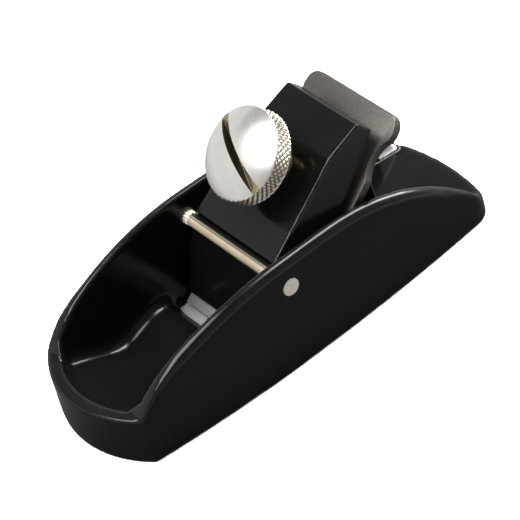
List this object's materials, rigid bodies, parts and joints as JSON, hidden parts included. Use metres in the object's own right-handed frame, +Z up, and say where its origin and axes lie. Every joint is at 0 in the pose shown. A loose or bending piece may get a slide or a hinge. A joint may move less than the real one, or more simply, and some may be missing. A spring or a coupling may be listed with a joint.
{
  "type": "pocket hand plane",
  "caption": "Small one-hand trimming plane: black die-cast body, flat blade under a wedge-shaped lever cap, cross pin and knurled nickel thumbscrew.",
  "frame": {"origin": "middle of the flat sole", "axes": "+X forward to the toe, +Y to the plane's left, +Z up from the sole"},
  "size_m": [0.0824, 0.0308, 0.0389],
  "materials": {
    "black_enamel": "gloss",
    "plated_pin": "satin",
    "blade_steel": "satin",
    "nickel": "polished"
  },
  "bodies": {
    "body": {"body": "black_enamel", "cross_pin": "plated_pin"},
    "blade": {"blade": "blade_steel"},
    "lever_cap": {"lever_cap": "black_enamel"},
    "thumbscrew": {"thumbscrew": "nickel"}
  },
  "joints": [
    {"name": "blade_slide", "type": "slide", "parent": "body", "child": "blade", "axis": [-0.7771, 0, 0.6293], "range_m": [-0.0021, 0.008]},
    {"name": "lever_cap_rock", "type": "hinge", "parent": "body", "child": "lever_cap", "pos_m": [0.00367, 0, 0.01651], "axis": [0, -1, 0], "range_deg": [0, 3.4]},
    {"name": "thumbscrew_turn", "type": "hinge", "parent": "lever_cap", "child": "thumbscrew", "pos_m": [-0.01438, 0, 0.02013], "axis": [0.6665, 0, 0.7455], "continuous": true}
  ]
}
